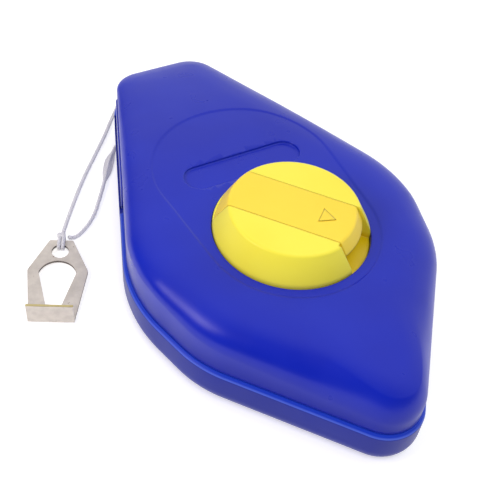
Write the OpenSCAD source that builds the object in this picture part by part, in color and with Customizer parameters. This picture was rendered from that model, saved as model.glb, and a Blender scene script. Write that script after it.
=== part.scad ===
// Chalk line reel: a pear-shaped case of two shells, a fold-out crank on the spool axis,
// a chalk filling door in the left flank and a steel hook on the free end of the line.
// Frame: the origin is on the spool axis in the plane of the flat underside,
// +Y points to the nose, where the line leaves, and +Z points up through the crank.

/* [Case outline] */
// Distance from the spool axis to the nose face
nose_y = 90; // [88.5:0.5:92]
// Half of the width of the nose
nose_half = 17.8; // [17:0.2:18.6]
// Corner radius of the nose
nose_r = 9.6; // [9.2:0.2:10.6]
// Radius of the round shoulders over the spool
shoulder_r = 44; // [44:0.5:46]
// Distance from the spool axis to the shoulders' centre
shoulder_y = 6; // [5:0.5:7]
// Radius of the fuller curve below each shoulder
flare_r = 34; // [33:0.5:35]
// Distance from the spool axis to the tip
tip_y = 62; // [61.5:0.5:64]
// Radius of the tip
tip_r = 10.6; // [10:0.2:11]

/* [Case heights] */
// Height of the flat top over the spool
case_h = 30.6; // [30.6:0.2:31.6]
// Height of the parting plane
parting_z = 14; // [13.6:0.2:14.4]
// Wall thickness
wall = 2.2; // [2:0.1:2.4]
// How far the lower shell's rim stands out
ledge = 1.1; // [0.8:0.1:1.3]
// Radius of the bottom edge
bottom_r = 6.5; // [6:0.5:7]
// Width of the rounding round the top
crown_w = 14; // [13:0.5:14]
// Height at which the rounding starts, beside the spool
crown_z = 24.5; // [24:0.1:25]

/* [Crank] */
// Radius of the hole in the upper shell
hole_r = 22.6; // [22.4:0.1:22.8]
// Height of the crank disc above the case
knob_h = 8.1; // [7.9:0.1:8.3]
// Radius of the crank disc's upper face
knob_top_r = 18.2; // [18:0.1:18.6]
// Width of the fold-out lever
lever_w = 14.8; // [14.4:0.2:15]
// Thickness of the lever
lever_t = 4.2; // [4:0.1:4.4]
// Direction of the lever, seen from above
lever_angle = -50; // [-70:1:-30]

/* [Spool] */
// Radius of the spool's flanges
spool_r = 36; // [34:0.5:37]
// Radius of the spool's core
core_r = 12.5; // [12.5:0.5:14]
// Outer radius of the wound line
wound_r = 31; // [26:0.5:31]
// Diameter of the braided line
line_d = 1.2; // [1:0.1:1.3]

/* [Filling door] */
// Length of the door from its hinge pin
door_len = 41; // [38:0.5:42]
// Height of the door's lower edge
door_z = 8; // [7.8:0.1:8.4]
// Height of the door
door_h = 13; // [12:0.5:13]
// Thickness of the door
door_t = 1.6; // [1.5:0.1:1.8]

/* [Hook] */
// Length of the hook's plate
hook_len = 31.2; // [30.8:0.2:33]
// Thickness of the hook's sheet
hook_t = 0.8; // [0.6:0.1:1]
// Height of the hook's bent lip
lip_h = 8.3; // [6:0.1:9]

/* [Hidden] */
$fn = 72;
eps = 0.01;

// Free play between parts that move past each other, and of a running fit
play = 0.3;
fit = 0.06;

// Circles that the case outline wraps, anticlockwise from the right nose corner: x, y, radius
flare_x = 7.5;
flare_y = -5.1;
nose_c = [nose_half - nose_r, nose_y - nose_r, nose_r];
shoulder_c = [0, shoulder_y, shoulder_r];
flare_c = [flare_x, flare_y, flare_r];
tip_c = [0, tip_r - tip_y, tip_r];
outline_circles = [nose_c, mirrored(nose_c), shoulder_c, mirrored(flare_c), tip_c, flare_c, shoulder_c];
outline_step = 8;

// Fall of the top and of the rounding's start towards the nose and the tip
nose_fall_y = 30;
nose_drop = 5.4;
tip_fall_y = -38;
tip_drop = 5;
crown_drop_nose = 1.6;
crown_drop_tip = 6.4;
crown_steps = 5;
cap_scales = [0.76, 0.52, 0.28];
cap_y = 8;

// Flank frame: x runs along the left flank from the hinge pin to the shoulder, y runs inwards
flank_a = fix_angle(tangent_angle(mirrored(nose_c), shoulder_c));
hinge_from_corner = 3;
flank_start = [-nose_c.x + nose_r * cos(flank_a), nose_c.y + nose_r * sin(flank_a)];
door_proud = 0.5;
door_gap = 0.4;
knuckle_r = 2;
knuckle_y = knuckle_r - door_proud;
door_pin_r = 0.75;
frame_t = 2;
seal_t = 0.3;
frame_y = door_t - door_proud + seal_t;
mouth_x = [4.5, 37];
mouth_z = [10.4, 18.8];

// Screws that join the shells: x, y and the top of the boss in the upper shell
screw_places = [[9, 81.5, 25.2], [-9, 81.5, 25.2], [29, 34, 27.2], [-29, 34, 27.2], [0, -50, 26.2]];
screw_r = 1.4;
screw_head_r = 2.8;
screw_recess = 2.6;

// Axle
post_r = 4.5;
bush_r = 6;
bush_z = 3.3;
post_top = 21.1;
spool_z = 4.2;
flange_t = 1.6;
spool_top = 23;
hub_ring = [8, 12];
peg_r = 1.4;
peg_at = 10.2;
disc_flange_z = [25.2, 27.1];
disc_flange_r = 26;

// Lever, in its own frame: x runs from the hinge to the free end, y across
lever_top = case_h + knob_h;
lever_pin_x = -14.2;
lever_pin_z = lever_top - 3.6;
lever_pin_r = 1.5;
knuckle_h = 3.6;
lever_end_r = 7.2;
lever_short = 1.3;
channel_w = lever_w + 2 * play;
channel_z = case_h + 0.3;
grip_x = 9;
grip_r = 4.6;
grip_z = [27.5, lever_top - lever_t - play];
mark = [[7.7, 2.5], [7.7, -2.5], [11.7, 0]];

// Line: where it leaves the spool, the wipers and the eyelet, all in the parting plane
line_r = line_d / 2;
line_z = parting_z;
eyelet_back = nose_y - 3.5;
exit_y = nose_y + 1.3;
tangent_r = wound_r + line_r + play;
wiper_y = [72, 77];

// Hook: its plate's foot, its direction, the lift of its upper end, and its plan
hook_at = [-66, 19, 0];
hook_turn = -26.6;
hook_lift = 2.2;
hook_foot = 6.7;
hook_shoulder = [9.1, 19.2];
hook_top = 3.6;
hook_hole_y = 26.7;
hook_hole_r = 2.6;
arch_y = 17.1;
arch_r = 5.8;
arch_corner = [5.65, 18.4];
arch_foot = [1.9, 4.5];
bar_y = [hook_hole_y + hook_hole_r, hook_len];
knot = [[0, -1.9], [0.8, -1.9], [1.4, -1.1], [1.4, 1.1], [0.8, 1.9], [0, 1.9]];
knot_at = [-51.4, 48.7, 1.6];

// Route of the free line from the eyelet to the knot
free_route = [[0, 91.3, 14], [0, 94, 14], [-0.4, 97, 13.2], [-1.6, 99.8, 11], [-3.6, 101.7, 8],
    [-6.4, 102.4, 5], [-9.4, 101.2, 2.6], [-12.2, 98.6, 1.1], [-15.2, 95.2, 0.7], [-19.1, 90.2, 0.7],
    [-23.6, 84.8, 0.7], [-28.4, 79.2, 0.7], [-33.3, 73.5, 0.7], [-38, 67.6, 0.7], [-42.7, 61.3, 0.7],
    [-47.3, 54.9, 0.8], [-50.3, 50.2, 1.5]];
// Route of the knot's loose tail, from the knot to beside the case
tail_route = [[-49.5, 47.7, 1.5], [-48.2, 47.4, 0.9], [-46.2, 47.9, 0.7], [-43.8, 49.3, 0.7],
    [-41.2, 51.3, 0.7], [-38, 54.6, 0.7], [-35.4, 58.2, 0.7], [-32.2, 62.9, 0.7], [-28.9, 67.9, 0.7],
    [-25.9, 72.7, 0.7], [-23.4, 76.6, 0.7], [-20.9, 79.7, 0.7], [-18.9, 82, 0.7]];

function mirrored(c) = [-c.x, c.y, c.z];
function fix_angle(a) = (a + 720) % 360;

// Angle of the outward normal where the outline runs straight from circle a to circle b
function tangent_angle(a, b) = let (d = [b.x - a.x, b.y - a.y])
    atan2(d.y, d.x) - 90 + asin((a.z - b.z) / norm(d));

function arc_start(k) = let (n = len(outline_circles))
    fix_angle(tangent_angle(outline_circles[(k + n - 1) % n], outline_circles[k]));
function arc_end(k) = k == len(outline_circles) - 1 ? arc_start(0) + 360 : arc_start(k + 1);

// Every outline point as its circle's number and its normal's angle
outline = [for (k = [0 : len(outline_circles) - 1])
    let (from = arc_start(k), to = arc_end(k), n = ceil((to - from) / outline_step))
    for (j = [0 : n]) [k, from + (to - from) * j / n]];

function outline_point(e, off) = let (c = outline_circles[e[0]])
    [c.x + (c.z + off) * cos(e[1]), c.y + (c.z + off) * sin(e[1])];
function flat_ring(off, z) = [for (e = outline) let (p = outline_point(e, off)) [p.x, p.y, z]];

// Height of the top and of the rounding's start at a distance y from the spool axis
function top_z(y) = case_h - nose_drop * pow(max(0, y - nose_fall_y) / (nose_y - nose_fall_y), 2)
    - tip_drop * pow(max(0, tip_fall_y - y) / (tip_y + tip_fall_y), 2);
function crown_start(y) = crown_z - (y > 0 ? crown_drop_nose * y / nose_y : -crown_drop_tip * y / tip_y);

function crown_ring(t, inset) = [for (e = outline)
    let (r = outline_circles[e[0]].z - inset,
        p = outline_point(e, -inset - min(crown_w, 0.85 * r) * (1 - cos(t))),
        low = crown_start(p.y))
    [p.x, p.y, low + (top_z(p.y) - low) * sin(t) - inset]];

function cap_ring(s, inset) = [for (p = crown_ring(90, inset))
    let (y = cap_y + s * (p.y - cap_y)) [s * p.x, y, top_z(y) - inset]];

// Closed solid through rings of equally many points, from the lowest ring to the highest
module ring_solid(rings) {
    n = len(rings[0]);
    last = len(rings) - 1;
    walls = [for (k = [0 : last - 1], i = [0 : n - 1])
        let (j = (i + 1) % n, a = k * n, b = a + n)
        each [[a + i, b + i, b + j], [a + i, b + j, a + j]]];
    polyhedron([for (r = rings) each r],
        concat([[for (i = [0 : n - 1]) i]], walls, [[for (i = [n - 1 : -1 : 0]) last * n + i]]));
}

// The case above a given height, or its hollow when inset by the wall
module crown_solid(inset, from_z) {
    ring_solid(concat([flat_ring(-inset, from_z)],
        [for (i = [0 : crown_steps]) crown_ring(90 * i / crown_steps, inset)],
        [for (s = cap_scales) cap_ring(s, inset)]));
}

module tray_solid() {
    steps = 4;
    ring_solid(concat(
        [for (i = [steps : -1 : 0]) let (t = 90 * i / steps)
            flat_ring(ledge - bottom_r * (1 - cos(t)), bottom_r * (1 - sin(t)))],
        [flat_ring(ledge, parting_z - 0.8), flat_ring(0.3, parting_z)]));
}

module tray_hollow() {
    ring_solid([flat_ring(-wall - 3, wall), flat_ring(-wall - 0.9, wall + 1.6),
        flat_ring(-wall, wall + 3.4), flat_ring(-wall, parting_z + 1)]);
}

module outline_prism(off, from_z, to_z) {
    translate([0, 0, from_z])
        linear_extrude(to_z - from_z)
            polygon([for (e = outline) outline_point(e, off)]);
}

module tube(r_out, r_in, from_z, to_z) {
    difference() {
        translate([0, 0, from_z]) cylinder(r = r_out, h = to_z - from_z);
        translate([0, 0, from_z - 1]) cylinder(r = r_in, h = to_z - from_z + 2);
    }
}

module block(x, y, z) {
    translate([x[0], y[0], z[0]]) cube([x[1] - x[0], y[1] - y[0], z[1] - z[0]]);
}

// Places children in the flank frame, with the hinge pin's place along the flank at x = 0
module on_flank() {
    translate([flank_start.x, flank_start.y, 0])
        rotate([0, 0, flank_a + 90])
            translate([hinge_from_corner, 0, 0])
                children();
}

module on_lever() {
    rotate([0, 0, lever_angle]) children();
}

// Rod across the lever, along its hinge axis
module hinge_rod(r, half) {
    translate([lever_pin_x, -half, lever_pin_z])
        rotate([-90, 0, 0])
            cylinder(r = r, h = 2 * half);
}

module at_screws() {
    for (p = screw_places) translate([p.x, p.y, 0]) children();
}

// Rod along the line's way through the nose
module nose_rod(r, from_y, to_y) {
    translate([0, from_y, line_z])
        rotate([-90, 0, 0])
            cylinder(r = r, h = to_y - from_y);
}

// What the door needs cut out of the shells: its rebate, the knuckle's pocket and the mouth
module door_cut() {
    on_flank() {
        block([0, door_len + door_gap], [-5, frame_y], [door_z - door_gap, door_z + door_h + door_gap]);
        block([-knuckle_r - 0.6, knuckle_r + 0.4], [-5, knuckle_y + knuckle_r + 0.4],
            [door_z - door_gap, door_z + door_h + door_gap]);
        block(mouth_x, [-5, 6], mouth_z);
        translate([0, knuckle_y, door_z - 1.8]) cylinder(r = door_pin_r, h = door_h + 3.8);
        translate([door_len + door_gap, -ledge - 0.6, door_z + door_h / 2])
            rotate([0, 90, 0])
                cylinder(r = 2.4, h = 3);
    }
}

module door_frame(from_z, to_z) {
    on_flank() block([-3.4, door_len + 3], [1, frame_y + frame_t], [from_z, to_z]);
}

module upper_shell() {
    color([0.16, 0.18, 0.66])
        difference() {
            union() {
                difference() {
                    crown_solid(0, parting_z);
                    crown_solid(wall, parting_z - 1);
                }
                for (p = screw_places) translate([p.x, p.y, parting_z])
                    cylinder(r = 3, h = p.z - parting_z);
                door_frame(parting_z, 23.6);
                block([-7, 7], [wiper_y[0] - 1.5, wiper_y[0]], [16, 26]);
                block([-7, 7], [wiper_y[1], wiper_y[1] + 1.5], [16, 26]);
            }
            translate([0, 0, 20]) cylinder(r = hole_r, h = 20);
            at_screws() translate([0, 0, parting_z - 1]) cylinder(r = screw_r, h = 8);
            nose_rod(2.4, nose_y - 8, nose_y + 5);
            door_cut();
            hand_recess();
        }
}

// Shallow recess with round ends across the top, between the crank and the nose
module hand_recess() {
    half = 14.3;
    r = 4.8;
    translate([0, 28.8, case_h - 1]) {
        for (s = [-1, 1]) translate([s * half, 0, 0]) cylinder(r = r, h = 3);
        block([-half, half], [-r, r], [0, 3]);
    }
}

module lower_shell() {
    color([0.18, 0.2, 0.6])
        difference() {
            union() {
                difference() {
                    tray_solid();
                    tray_hollow();
                }
                tongue();
                at_screws() {
                    translate([0, 0, 2]) cylinder(r = 3, h = parting_z - 2);
                    translate([0, 0, 2]) cylinder(r = 4.2, h = 2.6);
                }
                translate([0, 0, 2]) cylinder(r = post_r, h = post_top - 2);
                translate([0, 0, 2]) cylinder(r = 9, h = bush_z - 2);
                door_frame(6.4, parting_z);
                block([-7, 7], [wiper_y[0] - 1.5, wiper_y[0]], [2, 12]);
                block([-7, 7], [wiper_y[1], wiper_y[1] + 1.5], [2, 12]);
            }
            at_screws() {
                translate([0, 0, -1]) cylinder(r = screw_r + 0.1, h = 20);
                translate([0, 0, -1]) cylinder(r = screw_head_r + 0.3, h = 1 + screw_recess);
            }
            translate([0, 0, 9]) cylinder(r = 1.9, h = 20);
            nose_rod(2.4, nose_y - 8, nose_y + 5);
            nose_rod(3.9, nose_y, nose_y + 5);
            door_cut();
        }
}

// Rim that stands up inside the upper shell, left out at the door
module tongue() {
    difference() {
        union() {
            outline_prism(-wall + 0.5, parting_z - 2, parting_z - 0.4);
            outline_prism(-wall - 0.15, parting_z - 1, parting_z + 1.6);
        }
        outline_prism(-wall - 1.15, parting_z - 3, parting_z + 3);
        on_flank() block([-4.6, door_len + 4], [0, 8], [parting_z - 0.5, parting_z + 3]);
    }
}

module case_screws() {
    color([0.7, 0.7, 0.72])
        at_screws()
            difference() {
                union() {
                    translate([0, 0, 0.7]) cylinder(r = screw_head_r, h = screw_recess - 0.7);
                    translate([0, 0, screw_recess]) cylinder(r = screw_r, h = 17);
                }
                for (a = [0, 90]) rotate([0, 0, a]) block([-1.7, 1.7], [-0.3, 0.3], [0, 1.6]);
            }
}

module line_eyelet() {
    color([0.8, 0.65, 0.3])
        translate([0, 0, line_z])
            rotate([-90, 0, 0])
                rotate_extrude()
                    polygon([[line_r + 0.4, eyelet_back], [2.4, eyelet_back], [2.4, nose_y],
                        [3.5, nose_y], [3.5, exit_y - 0.5], [3, exit_y], [line_r + 0.9, exit_y],
                        [line_r + 0.4, exit_y - 0.5]]);
}

module wiper_lower() {
    color([0.85, 0.83, 0.78]) block([-6, 6], wiper_y, [wall, line_z - line_r]);
}

module wiper_upper() {
    color([0.85, 0.83, 0.78]) block([-6, 6], wiper_y, [line_z + line_r, 24.8]);
}

module axle_bush() {
    color([0.75, 0.6, 0.3]) {
        tube(bush_r, post_r, bush_z, post_top);
        tube(9, bush_r - eps, bush_z, spool_z - 0.1);
    }
}

module axle_washer() {
    color([0.7, 0.7, 0.72]) tube(7.6, 1.9, post_top, post_top + 0.8);
}

module axle_screw() {
    color([0.65, 0.65, 0.68])
        difference() {
            union() {
                translate([0, 0, 10]) cylinder(r = 1.9, h = post_top + 0.8 - 10);
                translate([0, 0, post_top + 0.8]) cylinder(r = 3.6, h = 2.2);
            }
            for (a = [0, 90]) rotate([0, 0, a]) block([-2.2, 2.2], [-0.4, 0.4], [post_top + 1.8, 30]);
        }
}

module dust_ring() {
    color([0.3, 0.3, 0.34]) tube(hole_r + 2.2, hole_r + 0.2, disc_flange_z[1] + play, case_h - wall - 0.5);
}

// Taut line inside the case: from the wound line through the wipers and out of the eyelet
module inner_line() {
    from_a = 90 + acos(tangent_r / wiper_y[1]);
    start = [tangent_r * cos(from_a), tangent_r * sin(from_a), line_z];
    way = [0, wiper_y[1], line_z] - start;
    color([0.9, 0.9, 0.93])
        cord([start, start + way / 3, start + way * 2 / 3, start + way * 0.97,
            [0, eyelet_back - 1, line_z], [0, (eyelet_back + exit_y) / 2, line_z], [0, exit_y, line_z]],
            line_r, 2);
}

module spool() {
    color([0.9, 0.78, 0.2])
        difference() {
            union() {
                translate([0, 0, spool_z]) cylinder(r = core_r, h = spool_top - spool_z);
                translate([0, 0, spool_z]) cylinder(r = spool_r, h = flange_t);
                translate([0, 0, spool_top - flange_t]) cylinder(r = spool_r, h = flange_t);
            }
            translate([0, 0, 0]) cylinder(r = bush_r + fit, h = 40);
            translate([0, 0, post_top - 0.1]) cylinder(r = hub_ring[0], h = 10);
            at_pegs() translate([0, 0, spool_top - 3.5]) cylinder(r = peg_r, h = 10);
        }
}

module at_pegs() {
    for (a = [45 : 90 : 315]) rotate([0, 0, a]) translate([peg_at, 0, 0]) children();
}

module wound_line() {
    color([0.88, 0.88, 0.92]) tube(wound_r, core_r, spool_z + flange_t, spool_top - flange_t);
}

// Outer form of the crank disc, from its flange under the shell to its upper face
module knob_form() {
    neck_r = hole_r - play;
    rotate_extrude()
        polygon([[0, disc_flange_z[0]], [disc_flange_r, disc_flange_z[0]],
            [disc_flange_r, disc_flange_z[1]], [neck_r, disc_flange_z[1]], [neck_r, case_h + 0.4],
            [knob_top_r + 0.5, lever_top - 0.7], [knob_top_r + 0.15, lever_top - 0.2],
            [knob_top_r - 0.5, lever_top], [0, lever_top]]);
}

module crank_disc() {
    half = channel_w / 2;
    color([0.95, 0.9, 0.3]) {
        difference() {
            knob_form();
            on_lever() {
                block([-30, 30], [-half, half], [channel_z, 60]);
                block([15.4, 30], [-half - 1.2, half], [case_h - 1.2, 60]);
                hinge_rod(lever_end_r + play, half);
                hinge_rod(lever_pin_r, 11);
                for (x = [grip_x + 0.1, grip_x + 0.8])
                    translate([x, 0, grip_z[0] - 0.4]) cylinder(r = grip_r + 0.5, h = 20);
            }
        }
        tube(hub_ring[1], hub_ring[0], spool_top, disc_flange_z[0]);
        at_pegs() translate([0, 0, spool_top - 3.5]) cylinder(r = peg_r, h = 3.6);
    }
}

module lever_pin() {
    color([0.7, 0.7, 0.72]) on_lever() hinge_rod(lever_pin_r, 11);
}

module crank_lever() {
    half = lever_w / 2;
    color([0.96, 0.84, 0.28])
        on_lever() {
            difference() {
                intersection() {
                    knob_form();
                    translate([-lever_short, 0, 0]) knob_form();
                    union() {
                        block([lever_pin_x, 30], [-half, half], [lever_top - lever_t, 60]);
                        intersection() {
                            hinge_rod(lever_end_r, half);
                            block([-30, 0], [-half, half], [lever_pin_z - knuckle_h, 60]);
                        }
                    }
                }
                hinge_rod(lever_pin_r + fit, half + 1);
                translate([grip_x, 0, 30]) cylinder(r = 1.6, h = lever_top - 1.6 - 30);
            }
            translate([0, 0, lever_top - eps]) linear_extrude(0.3) polygon(mark);
        }
}

module grip_rivet() {
    color([0.7, 0.7, 0.72])
        on_lever()
            translate([grip_x, 0, 0]) {
                translate([0, 0, grip_z[0] + 1.2]) cylinder(r = 1.6, h = lever_top - 1.6 - grip_z[0] - 1.2);
                translate([0, 0, grip_z[0] + 0.2]) cylinder(r = 2.8, h = 1);
            }
}

module finger_grip() {
    mid = (grip_z[0] + grip_z[1]) / 2;
    color([0.95, 0.9, 0.3])
        on_lever()
            translate([grip_x, 0, 0])
                rotate_extrude()
                    polygon([[3.1, grip_z[0]], [grip_r - 0.6, grip_z[0]], [grip_r, grip_z[0] + 0.8],
                        [grip_r - 0.5, mid], [grip_r, grip_z[1] - 0.6], [grip_r - 0.5, grip_z[1]],
                        [1.6 + fit, grip_z[1]], [1.6 + fit, grip_z[0] + 1.5], [3.1, grip_z[0] + 1.5]]);
}

module fill_door() {
    z = [door_z, door_z + door_h];
    color([0.14, 0.16, 0.6])
        on_flank()
            difference() {
                union() {
                    block([0, door_len], [-door_proud, door_t - door_proud], z);
                    translate([0, knuckle_y, z[0]]) cylinder(r = knuckle_r, h = door_h);
                }
                translate([0, knuckle_y, z[0] - 1]) cylinder(r = door_pin_r + fit, h = door_h + 2);
            }
}

// Gasket on the door's inner face, round the mouth
module door_seal() {
    color([0.12, 0.12, 0.13])
        on_flank()
            difference() {
                block([mouth_x[0] - 1.2, mouth_x[1] + 1.6], [door_t - door_proud, frame_y - 0.05],
                    [mouth_z[0] - 1.2, mouth_z[1] + 1.2]);
                block(mouth_x, [0, 3], mouth_z);
            }
}

module door_pin() {
    color([0.7, 0.7, 0.72])
        on_flank()
            translate([0, knuckle_y, door_z - 1.8]) cylinder(r = door_pin_r, h = door_h + 3.8);
}

// Point on the smooth curve through a route, at a fraction t between points i and i + 1
function route_point(p, i, t) = let (n = len(p) - 1,
    a = p[max(i - 1, 0)], b = p[i], c = p[min(i + 1, n)], d = p[min(i + 2, n)])
    0.5 * (2 * b + (c - a) * t + (2 * a - 5 * b + 4 * c - d) * t * t + (3 * b - a - 3 * c + d) * t * t * t);
function smooth_route(p, steps) = concat(
    [for (i = [0 : len(p) - 2], k = [0 : steps - 1]) route_point(p, i, k / steps)], [p[len(p) - 1]]);

// Cord of round section along a smooth route
module cord(route, r, steps) {
    sides = 8;
    path = smooth_route(route, steps);
    last = len(path) - 1;
    rings = [for (i = [0 : last])
        let (way = path[min(i + 1, last)] - path[max(i - 1, 0)],
            side = cross(way, [0, 0, 1]) / norm(cross(way, [0, 0, 1])),
            up = cross(side, way) / norm(way))
        [for (k = [0 : sides - 1]) let (a = 360 * (k + 0.5) / sides)
            path[i] + r * (cos(a) * up + sin(a) * side)]];
    ring_solid(rings);
}

module free_line() {
    color([0.9, 0.9, 0.93]) cord(free_route, line_r, 2);
}

module line_tail() {
    color([0.88, 0.88, 0.92]) cord(tail_route, line_r, 2);
}

module on_hook() {
    translate(hook_at) rotate([0, 0, hook_turn]) rotate([hook_lift, 0, 0]) children();
}

// Knot, with the loop that holds the hook's upper bar
module line_knot() {
    mid = hook_t / 2;
    bend = mid + line_r + 0.05;
    color([0.9, 0.9, 0.93]) {
        translate(knot_at) rotate([0, 90, hook_turn]) rotate_extrude($fn = 32) polygon(knot);
        on_hook() {
            for (s = [-1, 1]) translate([0, bar_y[0], mid + s * bend])
                rotate([-90, 0, 0])
                    cylinder(r = line_r, h = bar_y[1] - bar_y[0], $fn = 24);
            for (k = [0, 1]) translate([0, bar_y[k], mid])
                rotate([k * 180, 0, 0])
                    rotate([0, -90, 0])
                        rotate([0, 0, 180])
                            rotate_extrude(angle = 180, $fn = 32)
                                translate([bend, 0]) circle(r = line_r, $fn = 24);
        }
    }
}

module hook() {
    color([0.8, 0.78, 0.74])
        on_hook() {
            linear_extrude(hook_t)
                difference() {
                    polygon([[-hook_foot, 0], [hook_foot, 0], hook_shoulder, [hook_top, hook_len],
                        [-hook_top, hook_len], [-hook_shoulder.x, hook_shoulder.y]]);
                    translate([0, hook_hole_y]) circle(r = hook_hole_r);
                    intersection() {
                        translate([0, arch_y]) circle(r = arch_r);
                        translate([-arch_r, arch_corner.y]) square(2 * arch_r);
                    }
                    polygon([[-arch_foot.x, arch_foot.y], arch_foot, arch_corner,
                        [-arch_corner.x, arch_corner.y]]);
                }
            block([-hook_foot, hook_foot], [0, hook_t], [0, lip_h]);
        }
}

upper_shell();
lower_shell();
case_screws();
line_eyelet();
wiper_lower();
wiper_upper();
axle_bush();
axle_screw();
axle_washer();
dust_ring();
inner_line();
spool();
wound_line();
crank_disc();
lever_pin();
crank_lever();
grip_rivet();
finger_grip();
fill_door();
door_seal();
door_pin();
free_line();
line_tail();
line_knot();
hook();
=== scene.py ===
"""Looks of the chalk line reel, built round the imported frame.

Lengths are millimetres in the frame of the part (+Y to the nose, +Z up) until a mesh is made.
"""
import math

import bpy
import numpy as np
from mathutils import Matrix, Vector


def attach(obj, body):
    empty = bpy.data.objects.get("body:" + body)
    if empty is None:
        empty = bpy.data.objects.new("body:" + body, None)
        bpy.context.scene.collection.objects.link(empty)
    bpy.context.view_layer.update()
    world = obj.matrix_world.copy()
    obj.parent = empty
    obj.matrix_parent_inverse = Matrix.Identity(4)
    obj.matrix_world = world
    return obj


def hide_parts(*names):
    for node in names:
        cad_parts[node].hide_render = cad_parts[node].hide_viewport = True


MM = 0.001
TURN = 2 * math.pi
ROD_SIDES = 64

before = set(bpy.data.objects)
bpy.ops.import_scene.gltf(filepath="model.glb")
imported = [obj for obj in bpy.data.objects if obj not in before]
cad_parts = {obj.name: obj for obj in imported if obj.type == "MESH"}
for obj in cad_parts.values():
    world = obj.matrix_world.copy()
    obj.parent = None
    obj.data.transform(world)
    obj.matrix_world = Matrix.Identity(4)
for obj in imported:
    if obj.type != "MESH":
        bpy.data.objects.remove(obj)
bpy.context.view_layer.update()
scene = bpy.context.scene

# Case outline: circles that it wraps anticlockwise, as x, y, radius
NOSE_R = (8.2, 80.4, 9.6)
NOSE_L = (-8.2, 80.4, 9.6)
SHOULDER = (0.0, 6.0, 44.0)
FLARE_L = (-7.5, -5.1, 34.0)
TIP = (0.0, -51.4, 10.6)
FLARE_R = (7.5, -5.1, 34.0)
WRAP = [NOSE_R, NOSE_L, SHOULDER, FLARE_L, TIP, FLARE_R, SHOULDER]
NOSE_Y = 90.0
TIP_Y = 62.0
OUTLINE_STEP = 0.85

# Case heights and walls
CASE_H = 30.6
PARTING = 14.0
WALL = 2.2
LEDGE = 1.1
BOTTOM_R = 6.5
CROWN_Z = 24.5
CROWN_W = 14.0
CROWN_W_NOSE = 10.5
CROWN_W_TIP = 6.5
NOSE_DROP = 5.4
NOSE_FALL_Y = 30.0
TIP_DROP = 5.0
TIP_FALL_Y = -38.0
CROWN_DROP_NOSE = 1.6
CROWN_DROP_TIP = 6.4
# The crown narrows between these distances from the spool axis, to the nose and to the tip
NOSE_NARROWING = (66.0, 84.0)
TIP_NARROWING = (40.0, 58.0)
# Radius and weight of the rings of samples that smooth the top, and where they take over
SMOOTHING = ((1.3, 0.9), (2.6, 0.6), (3.9, 0.3))
SMOOTHING_SHARE = (0.45, 0.75)

# Crank
HOLE_R = 22.6
LIP_R = 0.3
NECK_R = 22.42
KNOB_TOP_R = 18.2
LEVER_TOP = 38.7
LEVER_W = 14.8
LEVER_T = 4.2
CHANNEL_HALF = 7.7
CHANNEL_Z = 30.9
LEVER_ANGLE = -50.0
LEVER_SHORT = 1.3
LEVER_END_R = 7.2
NOTCH_MORE = 1.2
NOTCH_Z = 28.2
PIN_X = -14.2
PIN_Z = LEVER_TOP - 3.6
GRIP_X = 9.0
GRIP_Z = (27.5, 34.2)
FLANGE = (26.0, 25.2, 27.1)
KNOB_ROUND = 0.7
KNOB_SIDES = 256
PIN_HOLE_R = 1.5
PIN_BORE_R = 1.56
RIVET_BORE_R = 1.6
GRIP_R = 4.6
GRIP_BORE_R = 1.66
GRIP_SOCKET_R = 3.1
MARK = [(7.7, 2.5), (7.7, -2.5), (11.7, 0.0)]
# Cutters reach this far past the disc, sideways and upwards
BESIDE = 30.0
ABOVE = 60.0

# Shallow pad round the crank and the recess beside it
PAD_CIRCLES = [(0.0, 0.0, 25.6), (0.0, 27.6, 27.6)]
PAD_DEPTH = 0.3
PAD_EDGE = 0.45
RECESS_Y = 28.8
RECESS_HALF = 14.3
RECESS_R = 4.8

# Filling door, in the flank frame
DOOR_LEN = 41.0
DOOR_Z = (8.0, 21.0)
DOOR_Y = (-0.5, 1.1)
FRAME_Y = 1.4
MOUTH_X = (4.5, 37.0)
MOUTH_Z = (10.4, 18.8)
KNUCKLE_Y = 1.5
KNUCKLE_R = 2.0
KNUCKLE_BORE_R = 0.81
DOOR_PIN_R = 0.75

# Screw bosses as x, y and top, the wiper ribs, the axle post and the eyelet's seat
SCREWS = [(9, 81.5, 25.2), (-9, 81.5, 25.2), (29, 34, 27.2), (-29, 34, 27.2), (0, -50, 26.2)]
BOSS_R = 3.0
BOSS_FOOT_R = 4.2
PILOT_R = 1.4
SHANK_R = 1.5
HEAD_R = 3.1
WIPER_Y = (72.0, 77.0)
RIB_T = 1.5
RIB_HALF = 7.0
POST_R = 4.5
POST_FOOT_R = 9.0
AXLE_PILOT_R = 1.9
EYELET_SEAT_R = 2.4
EYELET_FACE_R = 3.9

# Line and hook
BRAID_R = 0.68
STRANDS = 3
# How far the strands run from the middle, and their radius, as shares of the braid's radius
STRAND_REACH = 0.52
STRAND_SHARE = 0.46
WEAVE = 0.10
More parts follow.
